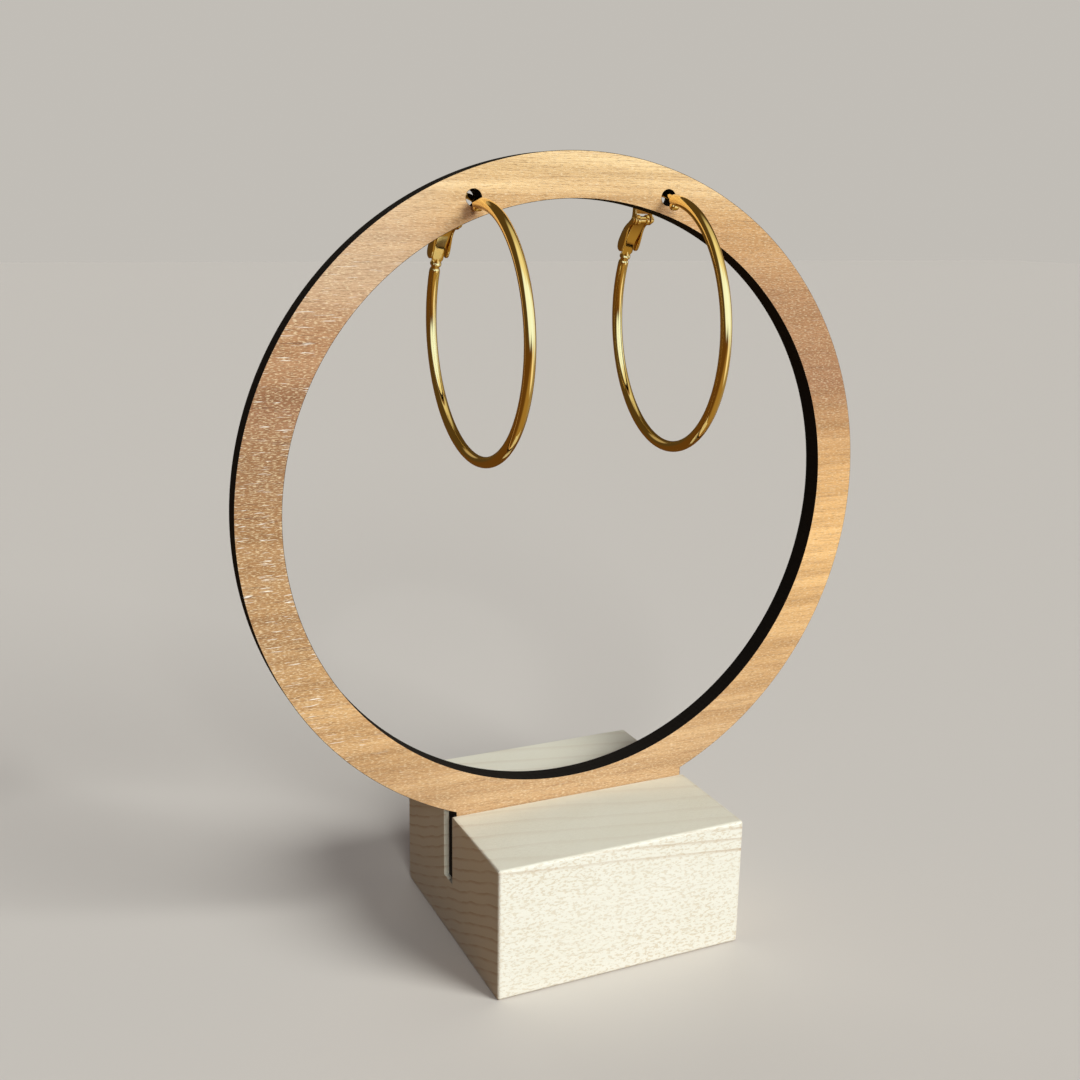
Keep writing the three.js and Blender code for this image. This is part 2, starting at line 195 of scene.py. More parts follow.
def inside_outlines(spots, edges):
    """True where a level line from the spot to the right crosses an odd number of edges."""
    (ax, ay), (bx, by) = edges[:, 0].T, edges[:, 1].T
    x, y = spots[:, :1], spots[:, 1:]
    spans = (ay > y) != (by > y)
    crossing = ax + (y - ay) * (bx - ax) / np.where(by == ay, 1.0, by - ay)
    return (spans & (crossing > x)).sum(1) % 2 == 1


def rounded_plate(outlines, eases, depth, steps=4):
    """A plate with quarter-round edges, from outlines that have the material on their left.

    At the angle a over an edge of radius e, a point lies e * (1 - sin a) inside the
    outline and e * (1 - cos a) below the face. Returns the shell and, for each of its
    faces, 0 on the flats and 1 on the rim.
    """
    angle = np.linspace(0, np.pi / 2, steps + 1)
    inside = np.concatenate([1 - np.sin(angle), (1 - np.sin(angle))[::-1]])
    points, quads, front, back, edges = [], [], [], [], []
    count = 0
    for outline, ease in zip(outlines, eases):
        ease = np.broadcast_to(ease, len(outline))
        below = np.multiply.outer(1 - np.cos(angle), ease)
        level = np.concatenate([below, depth - below[::-1]])
        flat = outline - offsets(outline) * (inside[:, None] * ease)[..., None]
        rows, around = level.shape
        points.append(np.concatenate([flat, level[..., None]], -1).reshape(-1, 3))
        i = np.arange(rows - 1)[:, None] * around
        j = np.arange(around)[None, :]
        k = (j + 1) % around
        cells = np.stack([i + j, i + k, i + around + k, i + around + j], -1)
        quads.append(cells.reshape(-1, 4) + count)
        start = sum(len(f) for f in front)
        front.append(np.arange(around) + count)
        back.append(np.arange(around) + count + (rows - 1) * around)
        edges.append(np.stack([j[0], k[0]], -1) + start)
        count += rows * around
    points, quads = np.concatenate(points), np.concatenate(quads)
    front, back, edges = np.concatenate(front), np.concatenate(back), np.concatenate(edges)
    corners = points[front, :2]
    spots = [Vector(p) for p in corners]
    _, _, faces, origin, _, _ = delaunay_2d_cdt(spots, edges.tolist(), [], 1, 1e-9)
    triangles = np.array([o[0] for o in origin])[np.array(faces)]
    triangles = triangles[inside_outlines(corners[triangles].mean(1), corners[edges])]
    flats = np.concatenate([front[triangles][:, ::-1], back[triangles]])
    numbers = np.concatenate([np.ones(len(quads)), np.zeros(len(flats))])
    return (points, quads, flats), numbers


def keep_flats_flat(piece):
    """Adds the Weighted Normal modifier, so that large faces decide how the rim shades."""
    modifier = piece.modifiers.new("flats", "WEIGHTED_NORMAL")
    modifier.keep_sharp = True


# %% [markdown]
# ## Finishes as expressions
#
# A finish is a network of shader nodes. Reading one is easier when its maths looks like
# maths, so a `Signal` wraps a socket, and `1 - mask` or `0.3 * grain` adds the Math node that
# it stands for. All other nodes come from `Finish.node`. Patterns read Object coordinates,
# in which a pattern is fixed to the piece, and sizes are given in millimetres.

# %% Finishes as expressions
class Signal:
    """A number or a colour that changes over a surface, or with the direction in the world."""

    def __init__(self, network, socket):
        self.network, self.socket = network, socket

    def maths(self, operation, *values):
        sockets = dict(enumerate(values))
        return self.network.node("ShaderNodeMath", {"operation": operation}, sockets)

    def __add__(self, other):
        return self.maths("ADD", self, other)

    __radd__ = __add__

    def __sub__(self, other):
        return self.maths("SUBTRACT", self, other)

    def __rsub__(self, other):
        return self.maths("SUBTRACT", other, self)

    def __mul__(self, other):
        return self.maths("MULTIPLY", self, other)

    __rmul__ = __mul__

    def __truediv__(self, other):
        return self.maths("DIVIDE", self, other)

    def __pow__(self, other):
        return self.maths("POWER", self, other)

    def fraction(self):
        return self.maths("FRACT", self)

    def size(self):
        return self.maths("ABSOLUTE", self)

    def root(self):
        return self.maths("SQRT", self)

    def rising(self, low, high):
        """0 below low, 1 above high, and a smooth step between them."""
        settings = {"interpolation_type": "SMOOTHSTEP"}
        sockets = {0: self, 1: low, 2: high, 3: 0.0, 4: 1.0}
        return self.network.node("ShaderNodeMapRange", settings, sockets)


class Network:
    """The nodes of a material or of the world."""

    def __init__(self, tree):
        self.nodes, self.links = tree.nodes, tree.links

    def node(self, kind, settings=(), sockets=(), output=0):
        """Adds a node: its settings first, then the values or links of its sockets."""
        made = self.nodes.new(kind)
        for key, value in dict(settings).items():
            if key == "stops":
                ramp = made.color_ramp.elements
                while len(ramp) < len(value):
                    ramp.new(0.5)
                for element, (position, colour) in zip(ramp, value):
                    element.position, element.color = position, (*colour, 1.0)
            else:
                setattr(made, key, value)
        for key, value in dict(sockets).items():
            self.plug(made.inputs[key], value)
        return Signal(self, made.outputs[output])

    def plug(self, socket, value):
        if isinstance(value, Signal):
            self.links.new(value.socket, socket)
        elif socket.type == "RGBA" and len(value) == 3:
            socket.default_value = (*value, 1.0)
        else:
            socket.default_value = value

    def mix(self, factor, a, b, blend="MIX"):
        """Colour a where the factor is 0 and b where it is 1."""
        settings = {"data_type": "RGBA", "blend_type": blend}
        return self.node("ShaderNodeMix", settings, {0: factor, 6: a, 7: b}, output=2)


class Finish(Network):
    """A material under construction."""

    def __init__(self, name, constants=()):
        self.material = bpy.data.materials.new(name)
        self.material.use_nodes = True
        super().__init__(self.material.node_tree)
        self.surface = self.nodes["Principled BSDF"]
        for socket, value in dict(constants).items():
            self.surface.inputs[socket].default_value = value
        self.where = self.node("ShaderNodeTexCoord", output="Object")

    def use(self, **sockets):
        for name, value in sockets.items():
            self.plug(self.surface.inputs[name.replace("_", " ").title()], value)

    def noise(self, size, detail=2.0, roughness=0.5, shift=(0.0, 0.0, 0.0), where=None):
        """Soft random patches about `size` millimetres long in x, y and z, from 0 to 1."""
        scale = tuple(1 / MM / s for s in size)
        sockets = {"Vector": where or self.where, "Location": shift, "Scale": scale}
        spot = self.node("ShaderNodeMapping", {"vector_type": "POINT"}, sockets)
        values = {"Vector": spot, "Scale": 1.0, "Detail": detail, "Roughness": roughness}
        return self.node("ShaderNodeTexNoise", {}, values)

    def axes(self):
        """The x, y and z of the surface in millimetres."""
        split = self.node("ShaderNodeSeparateXYZ", {}, {0: self.where})
        outputs = split.socket.node.outputs
        return [Signal(self, outputs[i]) * (1 / MM) for i in range(3)]

    def ramp(self, factor, stops):
        return self.node("ShaderNodeValToRGB", {"stops": stops}, {"Fac": factor})

    def bump(self, height, millimetres):
        """A tilted normal, as if a height of 1 stood that many millimetres out."""
        return self.node("ShaderNodeBump", {}, {"Height": height, "Distance": millimetres * MM})


# %% [markdown]
# ## Gold
#
# Polished gold shows almost nothing of itself. Its colour comes from a metal whose
# reflections are tinted yellow, and its life comes from what it mirrors. The surface only
# adds a very slight waviness from hand polishing and a little haze that comes and goes.

# %% Gold
gold = Finish("polished_gold", {"Metallic": 1.0})
haze = gold.noise((2.5, 2.5, 2.5), detail=3)
waves = gold.noise((1.6, 1.6, 1.6), detail=1)
gold.use(
    base_color=gold.mix(haze, (0.97, 0.70, 0.25), (1.0, 0.77, 0.33)),
    roughness=0.04 + 0.06 * haze,
    normal=gold.bump(waves, 0.004),
)

# %% [markdown]
# ## Cherry veneer and its cut edge
#
# The ring is cut from a board faced with a thin, light cherry-like veneer whose grain runs
# from side to side. Broad bands change slowly across the grain and fibres are long and fine.
# Between them lie dense short pale flecks and a few thin dark lines, which are stronger
# towards the left. The board's tone also changes slowly with its height, partly as the
# veneer's own tone and partly as painted sheen that is brightest near the top. More painted
# light lies on it: a pale painted sheen at the upper left, and painted glints that grow
# stronger towards the left. A band on the left at mid height is darker. The laser leaves the
# cut edge near black, and a painted shadow of each hoop's front end lies as a faint brown
# smudge below each hole.

# %% Cherry veneer
HOLE_PLACES = [(-16.586, 110.537), (13.505, 111.037)]
TONES_START, TONES_SPAN = 19.5, 100.0
WOOD_TONES = [
    (0.32, (0.64, 0.385, 0.196)),
    (0.50, (0.84, 0.525, 0.28)),
    (0.68, (1.0, 0.665, 0.378)),
]
# Each tone stands at its fraction of the span above the start. The tones are partly the veneer's
# own and partly painted sheen, brightest at the top.
TONES_AND_SHEEN_BY_HEIGHT = [
    (0.06, (0.64, 0.62, 0.57)),
    (0.20, (0.72, 0.68, 0.56)),
    (0.40, (1.0, 0.97, 0.74)),
    (0.52, (0.84, 0.78, 0.60)),
    (0.66, (0.44, 0.36, 0.34)),
    (0.80, (0.54, 0.47, 0.43)),
    (0.90, (0.73, 0.68, 0.56)),
    (0.985, (0.97, 1.1, 1.05)),
]

veneer = Finish("cherry_veneer", {"IOR": 1.45})
x, y, z = veneer.axes()
bands = veneer.noise((70.0, 30.0, 2.6), detail=4, roughness=0.6, shift=(1.3, 0.0, 2.2))
fibres = veneer.noise((7.0, 3.0, 0.20), detail=3, roughness=0.6)
flecks = veneer.noise((0.55, 1.0, 0.13), detail=2, roughness=0.5)
flecks = flecks.rising(0.50, 0.66)
# Painted glints: pale highlight specks painted into the colour, stronger towards the upper left.
painted_glints = veneer.noise((3.2, 1.0, 0.16), detail=2, roughness=0.55, shift=(7.0, 0.0, 3.0))
painted_glints = painted_glints.rising(0.63, 0.70)
pores = veneer.noise((1.1, 1.0, 0.12), detail=2, roughness=0.5, shift=(3.0, 0.0, 1.0))
pores = pores.rising(0.54, 0.68)
threads = veneer.noise((9.0, 6.0, 0.30), detail=3, roughness=0.55, shift=(0.0, 0.0, 5.0))
left = x.rising(-24.0, -44.0)
wood = veneer.ramp(bands, WOOD_TONES)
# Partly painted sheen: the tone by height also paints the light's sheen, brightest near the top.
board = veneer.ramp((z + 5.0 * bands - TONES_START) / TONES_SPAN, TONES_AND_SHEEN_BY_HEIGHT)
wood = veneer.mix(1.0, wood, board, "MULTIPLY")
# Darker on the left between about 34 and 88 mm of height, strongest between 54 and 72.
darker_left_band = 0.9 * left * z.rising(88.0, 72.0) * z.rising(34.0, 54.0)
wood = veneer.mix(darker_left_band, wood, veneer.mix(1.0, wood, (0.48, 0.44, 0.48), "MULTIPLY"))
# Painted sheen: a pale wash at the upper left, where the light glances off the veneer.
painted_sheen_upper_left = 0.40 * x.rising(-14.0, -30.0) * z.rising(92.0, 101.0)
wood = veneer.mix(painted_sheen_upper_left, wood, (0.74, 0.60, 0.44))
wood = veneer.mix(0.40 * fibres.rising(0.55, 0.25), wood, (0.30, 0.15, 0.07))
wood = veneer.mix((0.25 + 0.45 * left) * threads.rising(0.60, 0.70), wood, (0.15, 0.075, 0.045))
wood = veneer.mix((0.32 + 0.16 * left) * pores, wood, (0.22, 0.11, 0.05))
wood = veneer.mix((0.36 + 0.18 * left) * flecks, wood, (0.95, 0.78, 0.50))
# Painted highlight: the painted glints mixed into the veneer's colour.
wood = veneer.mix((0.15 + 0.75 * left * x.rising(-12.0, -34.0)) * painted_glints, wood, (1.0, 0.96, 0.86))
# Painted shadow: a brown smudge below and left of each hole, where the hoop's front end casts its
# shade.
for (hole_x, hole_z), painted_shadow in zip(HOLE_PLACES, (0.6, 0.35)):
    away = ((x - (hole_x - 0.6)) ** 2 + (z - (hole_z - 1.9)) ** 2).root()
    wood = veneer.mix(painted_shadow * away.rising(1.7, 0.5), wood, (0.26, 0.12, 0.065))
veneer.use(
    base_color=wood,
    roughness=0.44 + 0.2 * fibres - 0.12 * flecks,
    normal=veneer.bump(fibres - 0.6 * pores + 0.4 * flecks, 0.03),
)

# %% Charred edge
char = Finish("charred_edge", {"IOR": 1.4, "Specular IOR Level": 0.25})
streaks = char.noise((0.35, 6.0, 0.35), detail=2)
ply = char.noise((30.0, 0.5, 30.0), detail=1)
char.use(
    base_color=char.mix(streaks, (0.005, 0.004, 0.003), (0.013, 0.010, 0.008)),
    roughness=0.7 + 0.25 * ply,
    normal=char.bump(streaks + 0.5 * ply, 0.04),
)

# %% [markdown]
# ## Maple
#
# The block is solid wood, so its pattern is worked out in space and not face by face. Its
# growth layers are tilted sheets: z + 0.45 y + 0.1 x is the same all over one layer, give or
# take a slow sway. They show as wavy lines on the ends, as one or two level lines on the long
# sides and as faint lines along the top. Rays are thin upright sheets along the grain. On the
# long sides they are seen flat, as a lace of short tan dashes that is denser in some places,
# and on the top only as fine ticks. The ends soak up more finish and are a little darker.

# %% Maple
LAYER_PITCH = 1.75
RAY_TAN, LAYER_BROWN, END_BROWN = (0.62, 0.53, 0.375), (0.50, 0.37, 0.24), (0.42, 0.32, 0.24)

maple = Finish("maple", {"IOR": 1.45})
x, y, z = maple.axes()
sway = maple.noise((45.0, 9.0, 30.0), detail=2)
ripple = maple.noise((14.0, 2.6, 8.0), detail=2)
layer = z + 0.45 * y + 0.1 * x + 1.8 * sway + 0.45 * ripple
line = (layer / LAYER_PITCH).fraction()
late = line.rising(0.62, 0.93) * (1 - line.rising(0.95, 1.0))
strength = maple.noise((60.0, 60.0, 1.8), detail=1).rising(0.35, 0.65)
side = y.size().rising(18.9, 19.28)
end = x.size().rising(19.4, 19.8)
shown = 1 - 0.88 * side * (z + 0.1 * x).rising(17.6, 16.9)
leaning = {0: MM * (x + 0.5 * z), 1: MM * y, 2: MM * (z - 0.12 * x)}
slant = maple.node("ShaderNodeCombineXYZ", {}, leaning)
rays = maple.noise((0.80, 0.14, 0.36), detail=3, roughness=0.6, where=slant).rising(0.50, 0.59)
dense = maple.noise((17.0, 30.0, 9.0), detail=1).rising(0.3, 0.7)
cloud = maple.noise((9.0, 6.0, 4.0), detail=3)
pale = maple.mix(cloud, (0.76, 0.725, 0.585), (0.81, 0.785, 0.66))
# Partly painted light: both long sides get a paler, cooler tone than the top and the ends, as the
# front side is lit most; the rest is the wood's own difference between its faces.
pale = maple.mix(side, pale, maple.mix(cloud, (0.80, 0.795, 0.69), (0.84, 0.84, 0.755)))
pale = maple.mix((0.10 + 0.50 * side) * (0.7 + 0.3 * dense) * rays, pale, RAY_TAN)
pale = maple.mix(0.16 * end, pale, END_BROWN)
line_weight = (0.24 + 0.40 * end + 0.40 * side) * late * shown * (0.4 + 0.6 * strength)
pale = maple.mix(line_weight, pale, LAYER_BROWN)
maple.use(
    base_color=pale,
    roughness=0.52 + 0.12 * cloud,
    normal=maple.bump(rays * -0.5 + maple.noise((3.0, 0.2, 0.2), detail=2), 0.02),
)
print("finishes: polished gold, cherry veneer, charred edge, maple")

# %% [markdown]
# ## The maple block
#
# Seen from its end, the block is a U: a square with a slot in its top. That outline is a
# plate 40 mm thick, and `rounded_plate` eases all its edges by hand-sanded 0.4 mm, but the
# edges of the sawn slot only by a tenth.

# %% The maple block
BLOCK_WIDTH, BLOCK_DEPTH, BLOCK_HEIGHT = 40.0, 38.6, 20.3
BLOCK_EASE, CORNER_RADIUS, SLOT_EASE, SLOT_CORNER = 0.4, 0.5, 0.1, 0.2
SLOT_FRONT, SLOT_BACK, SLOT_FLOOR = -1.05, 2.45, 9.0


def quarter(centre, start, radius, steps=5):
    """Points on a quarter circle from the angle `start` in degrees, anticlockwise."""
    angle = np.radians(start + np.linspace(0, 90, steps))
    return np.asarray(centre) + radius * np.stack([np.cos(angle), np.sin(angle)], 1)


y_end, low, high = BLOCK_DEPTH / 2 - CORNER_RADIUS, CORNER_RADIUS, BLOCK_HEIGHT - CORNER_RADIUS
slot_high = BLOCK_HEIGHT - SLOT_CORNER
block_runs = [
    (quarter((-y_end, low), 180, CORNER_RADIUS), BLOCK_EASE),
    (quarter((y_end, low), 270, CORNER_RADIUS), BLOCK_EASE),
    (quarter((y_end, high), 0, CORNER_RADIUS), BLOCK_EASE),
    (quarter((SLOT_BACK + SLOT_CORNER, slot_high), 90, SLOT_CORNER, 3), SLOT_EASE),
    ([(SLOT_BACK, SLOT_FLOOR), (SLOT_FRONT, SLOT_FLOOR)], SLOT_EASE),
    (quarter((SLOT_FRONT - SLOT_CORNER, slot_high), 0, SLOT_CORNER, 3), SLOT_EASE),
    (quarter((-y_end, high), 90, CORNER_RADIUS), BLOCK_EASE),
]
block_outline = np.concatenate([run for run, _ in block_runs])
block_eases = np.concatenate([np.full(len(run), ease) for run, ease in block_runs])
(points, quads, triangles), _ = rounded_plate([block_outline], [block_eases], BLOCK_WIDTH)
points = np.stack([points[:, 2] - BLOCK_WIDTH / 2, points[:, 0], points[:, 1]], 1)
shell = (points, quads, triangles)
block = make_piece("maple_block", shell, [maple.material], ROOT, "base_block")
keep_flats_flat(block)

# %% [markdown]
# ## The ring
#
# The ring's outline is given as a distance from its centre: 50 mm all round, except at the
# bottom, where the straight sides and the foot of the tab lie further out. Two small holes
# near the top take the ear posts. The flats get the veneer, and the rim gets the charred
# finish, also inside the holes.

# %% The ring
CENTRE_X, CENTRE_Z, OUTER, INNER = -0.54, 67.16, 50.0, 43.55
TAB_LEFT, TAB_RIGHT, FRONT_Y, THICKNESS = -18.7, 20.2, -0.9, 3.2
HOLE_RADIUS, RIM_EASE = 1.15, 0.06
TAB_FOOT = CENTRE_Z - SLOT_FLOOR


def ring_outline(angles):
    """The outer outline: the far one of the circle and the tab's box, along each direction.

    A line from the centre at the angle a meets the box at the lesser of two distances,
    side / |cos a| and foot / |sin a|.
    """
    c, s = np.cos(angles), np.sin(angles)
    side = np.where(c > 0, TAB_RIGHT, -TAB_LEFT) / np.maximum(np.abs(c), 1e-9)
    box = np.where(s < 0, np.minimum(side, TAB_FOOT / np.maximum(-s, 1e-9)), 0)
    reach = np.where(s < -0.5, np.maximum(OUTER, box), OUTER)
    return np.stack([CENTRE_X + reach * c, CENTRE_Z + reach * s], 1)


def circle(centre_x, centre_z, radius, count):
    """A clockwise circle, because the material lies outside it."""
    angle = -np.linspace(0, 2 * np.pi, count, endpoint=False)
    return np.stack([centre_x + radius * np.cos(angle), centre_z + radius * np.sin(angle)], 1)


# The directions of the tab's corners, and of where its sides leave the circle.
marks = [
    math.atan2(-TAB_FOOT, TAB_LEFT),
    math.atan2(-TAB_FOOT, TAB_RIGHT),
    math.atan2(-math.sqrt(OUTER**2 - TAB_LEFT**2), TAB_LEFT),
    math.atan2(-math.sqrt(OUTER**2 - TAB_RIGHT**2), TAB_RIGHT),
]
angles = np.linspace(-np.pi, np.pi, 420, endpoint=False)
angles = angles[np.abs(angles[:, None] - np.array(marks)).min(1) > 0.006]
angles = np.sort(np.concatenate([angles, marks]))
outlines = [ring_outline(angles), circle(CENTRE_X, CENTRE_Z, INNER, 360)]
outlines += [circle(hole_x, hole_z, HOLE_RADIUS, 48) for hole_x, hole_z in HOLE_PLACES]
eases = [RIM_EASE] * len(outlines)
(points, quads, triangles), rim = rounded_plate(outlines, eases, THICKNESS, steps=3)
points = np.stack([points[:, 0], points[:, 2] + FRONT_Y, points[:, 1]], 1)
ring = make_piece(
    "cherry_ring",
    (points, quads, triangles),
    [veneer.material, char.material],
    ROOT,
    "ring_frame",
    rim,
)
keep_flats_flat(ring)

# %% [markdown]
# ## The hoops
#
# Each piece is worked out in a frame whose origin is the hoop's centre: x across the hoop, y
# to its back and z up. `hang` turns and moves it to where each earring hangs. The tube, its
# rounded end and the bead under the clasp are one turned profile that follows the circle, as
# they are one smooth skin on the real thing. The two earrings differ a little at their front
# ends: in how far the tube bends in from the circle, and in how low and fat the lug is.

# %% Where the earrings hang
HOOP_RADIUS, TUBE_RADIUS, FRONT_RADIUS, FRONT_END, BEAD_ANGLE = 17.85, 0.8, 0.82, -4.5, 59.2
# For each earring: its centre, its turn, its lean and its slip.
PLACES = {
    "left": ((-16.261, -1.1, 92.429), 0.56, -0.64, 1.5),
    "right": ((13.552, -1.73, 93.007), -3.6, -0.91, -0.5),
}
DROOP = {"left": 0.5, "right": 0.1}
LUG_DEPTH = {"left": 0.45, "right": 0.85}
LUG_FATNESS = {"left": 0.95, "right": 1.0}


def hang(points, side):
    """Turns by the slip about x, the lean about y and the turn about z, and then moves."""
    centre, turn, lean, slip = PLACES[side]
    turned = (
        Matrix.Rotation(math.radians(turn), 3, "Z")
        @ Matrix.Rotation(math.radians(lean), 3, "Y")
        @ Matrix.Rotation(math.radians(-slip), 3, "X")
    )
    return points @ np.array(turned).T + np.array(centre)


def on_hoop(angle, radius):
    """(0, radius * sin angle, radius * cos angle), the angle rising from the top to the back."""
    return np.stack([np.zeros_like(angle), radius * np.sin(angle), radius * np.cos(angle)], 1)


def gold_piece(side, what, rings_or_shell, body, node):
    """A gold piece from rings, whose ends are then closed, or from a shell that is closed."""
    shell = rings_or_shell if isinstance(rings_or_shell, tuple) else close_ends(rings_or_shell)
    points, quads, triangles = shell
    shell = (hang(points, side), quads, triangles)
    return make_piece(f"{side}_{what}", shell, [gold.material], body, f"{side}_{node}")


# %% Tube, bead and neck
# Pairs of the distance along the tube, from the neck to the plain tube, and the radius.
BEAD_PROFILE = np.array(
    [
        (-1.85, 0.30), (-1.2, 0.40), (-0.75, 0.52), (-0.42, 0.66), (-0.26, 0.80),
        (-0.14, 0.84), (0.02, 0.84), (0.14, 0.80), (0.30, 0.64), (0.40, 0.58),
        (0.56, 0.58), (0.66, 0.66), (0.82, 0.74), (1.05, 0.785), (1.4, 0.80),
    ]
)  # fmt: skip
BEAD_START, BEAD_STOP, BEAD_STEP, SWELL_LENGTH = -1.85, 1.5, 0.03, 0.9

fine = np.arange(BEAD_START, BEAD_STOP, BEAD_STEP)
arc_length = HOOP_RADIUS * math.radians(360 + FRONT_END - BEAD_ANGLE)
swell_start = arc_length - SWELL_LENGTH
plain = np.linspace(BEAD_STOP, swell_start, 230)
cap = np.linspace(0, math.pi / 2, 13)[:-1]
along = np.concatenate([fine, plain, arc_length + FRONT_RADIUS * np.sin(cap)])
bead = softened(np.interp(fine, *BEAD_PROFILE.T))
swell = np.interp(plain, [swell_start, arc_length], [TUBE_RADIUS, FRONT_RADIUS])
radius = np.concatenate([bead, swell, FRONT_RADIUS * np.cos(cap)])
angle = math.radians(BEAD_ANGLE) + along / HOOP_RADIUS
across = np.tile([1.0, 0.0, 0.0], (len(angle), 1))


def bent_in(angle, droop, stretch=math.radians(30)):
    """How far the centre line lies inside the circle.

    It is droop * u^2, with u rising from 0 to 1 along the last stretch before the front end.
    """
    u = 1 - (math.radians(360 + FRONT_END) - angle) / stretch
    return droop * np.clip(u, 0, 1) ** 2


for side in PLACES:
    path = on_hoop(angle, 1.0) * (HOOP_RADIUS - bent_in(angle, DROOP[side]))[:, None]
    tube = sweep(path, across, on_hoop(angle, 1.0), radius, radius, around=44)
    gold_piece(side, "tube", tube, ROOT, "hoop")

# %% [markdown]
# The small parts follow. A turned part that lies across the hoop, such as the lug under the
# front end, the tongue's knuckle and the rivet, is a list of distances and radii. The ear
# post is a wire bent into a shallow arch. The tongue is a strip of sheet that follows the
# hoop's circle from the rivet to the bead and gets narrower on its way.

# %% Lug, knuckle and rivet
def turned_across(profile, y, z, around=36, passes=1, step=0.02):
    """Rings round the line through (y, z) along x, from pairs of distance and radius."""
    profile = np.asarray(profile)
    x = np.arange(profile[0, 0], profile[-1, 0] + step / 2, step)
    radius = softened(np.interp(x, *profile.T), passes)
    centres = np.stack([x, np.full_like(x, y), np.full_like(x, z)], 1)
    aside = np.tile([0.0, 1.0, 0.0], (len(x), 1))
    up = np.tile([0.0, 0.0, 1.0], (len(x), 1))
    return sweep(centres, aside, up, radius, radius, around=around)


RIVET_Y, RIVET_Z = 9.35, 14.75
LUG = [(-0.70, 0.02), (-0.68, 0.22), (-0.62, 0.38), (-0.50, 0.51), (-0.34, 0.58), (-0.2, 0.6)]
LUG = LUG + [(-d, r) for d, r in reversed(LUG)]
KNUCKLE = [
    (-1.0, 0.66), (-0.95, 0.74), (-0.87, 0.78), (-0.58, 0.78),
    (-0.5, 0.74), (-0.42, 0.56), (-0.36, 0.55),
]  # fmt: skip
KNUCKLE = KNUCKLE + [(-d, r) for d, r in reversed(KNUCKLE)]
RIVET = [
    (-1.68, 0.02), (-1.66, 0.30), (-1.6, 0.42), (-1.54, 0.46), (-1.48, 0.46), (-1.46, 0.3),
    (1.46, 0.3), (1.48, 0.52), (1.66, 0.52), (1.78, 0.42), (1.86, 0.28), (1.9, 0.02),
]  # fmt: skip

lug_angle = math.radians(FRONT_END)
for side in PLACES:
    reach = HOOP_RADIUS - DROOP[side] - LUG_DEPTH[side]
    profile = [(d, r * LUG_FATNESS[side]) for d, r in LUG]
    lug = turned_across(profile, reach * math.sin(lug_angle), reach * math.cos(lug_angle))
    gold_piece(side, "lug", lug, ROOT, "hoop")
    gold_piece(side, "knuckle", turned_across(KNUCKLE, RIVET_Y, RIVET_Z), ROOT, "hoop")
    gold_piece(side, "rivet_pin", turned_across(RIVET, RIVET_Y, RIVET_Z), ROOT, "rivet")

# %% Ear post
POST_RADIUS = 0.42
# The arch's four corners: y, and how far each lies outside the hoop's circle.
POST_START, POST_ARCH = (-1.2, -0.2), [(1.0, 0.9), (6.2, 1.45), (10.9, -1.45)]


def bent_wire(corners, radius, rows=60):
    """A round wire with a round tip, along the cubic Bezier curve of four corners.

    point = (1 - t)^3 A + 3 t (1 - t)^2 B + 3 t^2 (1 - t) C + t^3 D
    """
    a, b, c, d = corners
    t = np.linspace(0, 1, rows)[:, None]
    path = (1 - t) ** 3 * a + 3 * t * (1 - t) ** 2 * b + 3 * t**2 * (1 - t) * c + t**3 * d
    aim = np.gradient(path, axis=0)
    aim /= np.linalg.norm(aim, axis=1, keepdims=True)
    cap = np.linspace(0, np.pi / 2, 9)[1:-1]
    path = np.concatenate([path, path[-1] + aim[-1] * radius * np.sin(cap)[:, None]])
    aim = np.concatenate([aim, np.repeat(aim[-1:], len(cap), 0)])
    thick = np.concatenate([np.full(rows, radius), radius * np.cos(cap)])
    across = np.tile([1.0, 0.0, 0.0], (len(path), 1))
    return sweep(path, across, np.cross(across, aim), thick, thick, around=28)


for side in PLACES:
    arch = np.array([POST_START, *POST_ARCH])
    arch[0, 1] -= DROOP[side]
    corners = np.array([(0, y, HOOP_RADIUS + out) for y, out in arch])
    gold_piece(side, "post", bent_wire(corners, POST_RADIUS), ROOT, "hoop")

# %% Tongue
def strip(centres, up, half_width, half_thickness, squareness=7.0, around=36):
    """A strip of sheet across x along a path; `up` is its outer side."""
    across = np.tile([1.0, 0.0, 0.0], (len(centres), 1))
    return sweep(centres, across, up, half_width, half_thickness, squareness, around)


TONGUE_TOP, TONGUE_MIDDLE, TONGUE_FOOT, TONGUE_ROWS, TONGUE_HALF = 33.6, 46, 57.9, 60, 0.21

angle = np.radians(np.linspace(TONGUE_TOP, TONGUE_FOOT, TONGUE_ROWS))
lower = HOOP_RADIUS * (angle - math.radians(TONGUE_MIDDLE))
half_width = np.interp(lower, [-4.0, -2.6, 3.2, 3.75], [1.0, 1.0, 0.875, 0.5])
half_thickness = np.full(TONGUE_ROWS, TONGUE_HALF)
path = on_hoop(angle, HOOP_RADIUS - TONGUE_HALF)
tongue = strip(path, on_hoop(angle, 1.0), half_width, half_thickness)
for side in PLACES:
    gold_piece(side, "tongue", tongue, ROOT, "hoop")

# %% [markdown]
# ## The levers
#
# Each clasp's lever is folded from one sheet: a back and two leaf-shaped side walls that run
# down to thumb flaps, with two lips at the top that pass either side of the post. The wall's
# outline is a smooth closed curve through a few points. It is a centripetal Catmull-Rom
# curve, whose knots are spaced by the square root of the distance between the points, which
# keeps tight bends from making loops.

# %% Lever walls
WALL_POINTS = np.array(
    [
        (9.4, 16.8), (9.75, 16.6), (9.85, 16.0), (10.15, 15.1), (11.0, 14.55),
        (12.6, 13.75), (14.1, 12.45), (15.05, 11.25), (15.15, 10.5), (14.5, 10.0),
        (13.7, 10.1), (12.95, 10.85), (12.35, 11.9), (11.75, 12.95), (11.05, 13.65),
        (10.3, 14.0), (9.55, 13.97), (8.8, 14.25), (8.55, 14.9), (8.75, 15.6), (8.95, 16.55),
    ]
)  # fmt: skip


